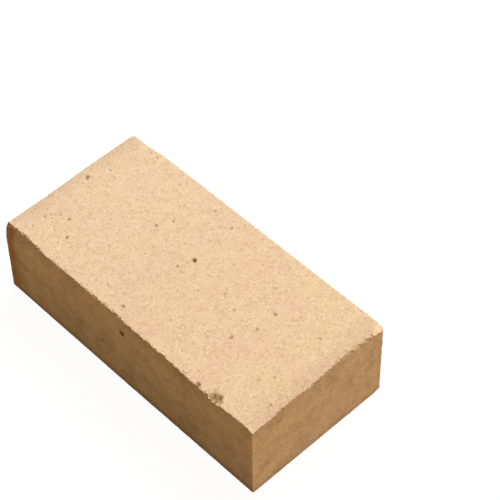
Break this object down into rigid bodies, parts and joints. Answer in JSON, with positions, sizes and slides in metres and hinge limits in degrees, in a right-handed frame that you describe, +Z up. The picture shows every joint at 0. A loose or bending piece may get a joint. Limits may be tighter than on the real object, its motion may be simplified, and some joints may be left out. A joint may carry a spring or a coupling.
{
  "type": "refractory firebrick",
  "caption": "Rectangular dense fireclay brick with flat bed faces, slightly rounded arrises and small chips, for lining furnaces, kilns and hearths.",
  "frame": {"origin": "middle of the lower bed face, on the plane that the brick lies on", "axes": "+X along the length towards the right header, +Y across the width from the front stretcher face to the back one, +Z up through the thickness"},
  "size_m": [0.23, 0.114, 0.064],
  "materials": {
    "fireclay": "unglazed, fine-grained matt fireclay with dark iron spots"
  },
  "bodies": {
    "root": {"firebrick": "fireclay"}
  },
  "joints": []
}
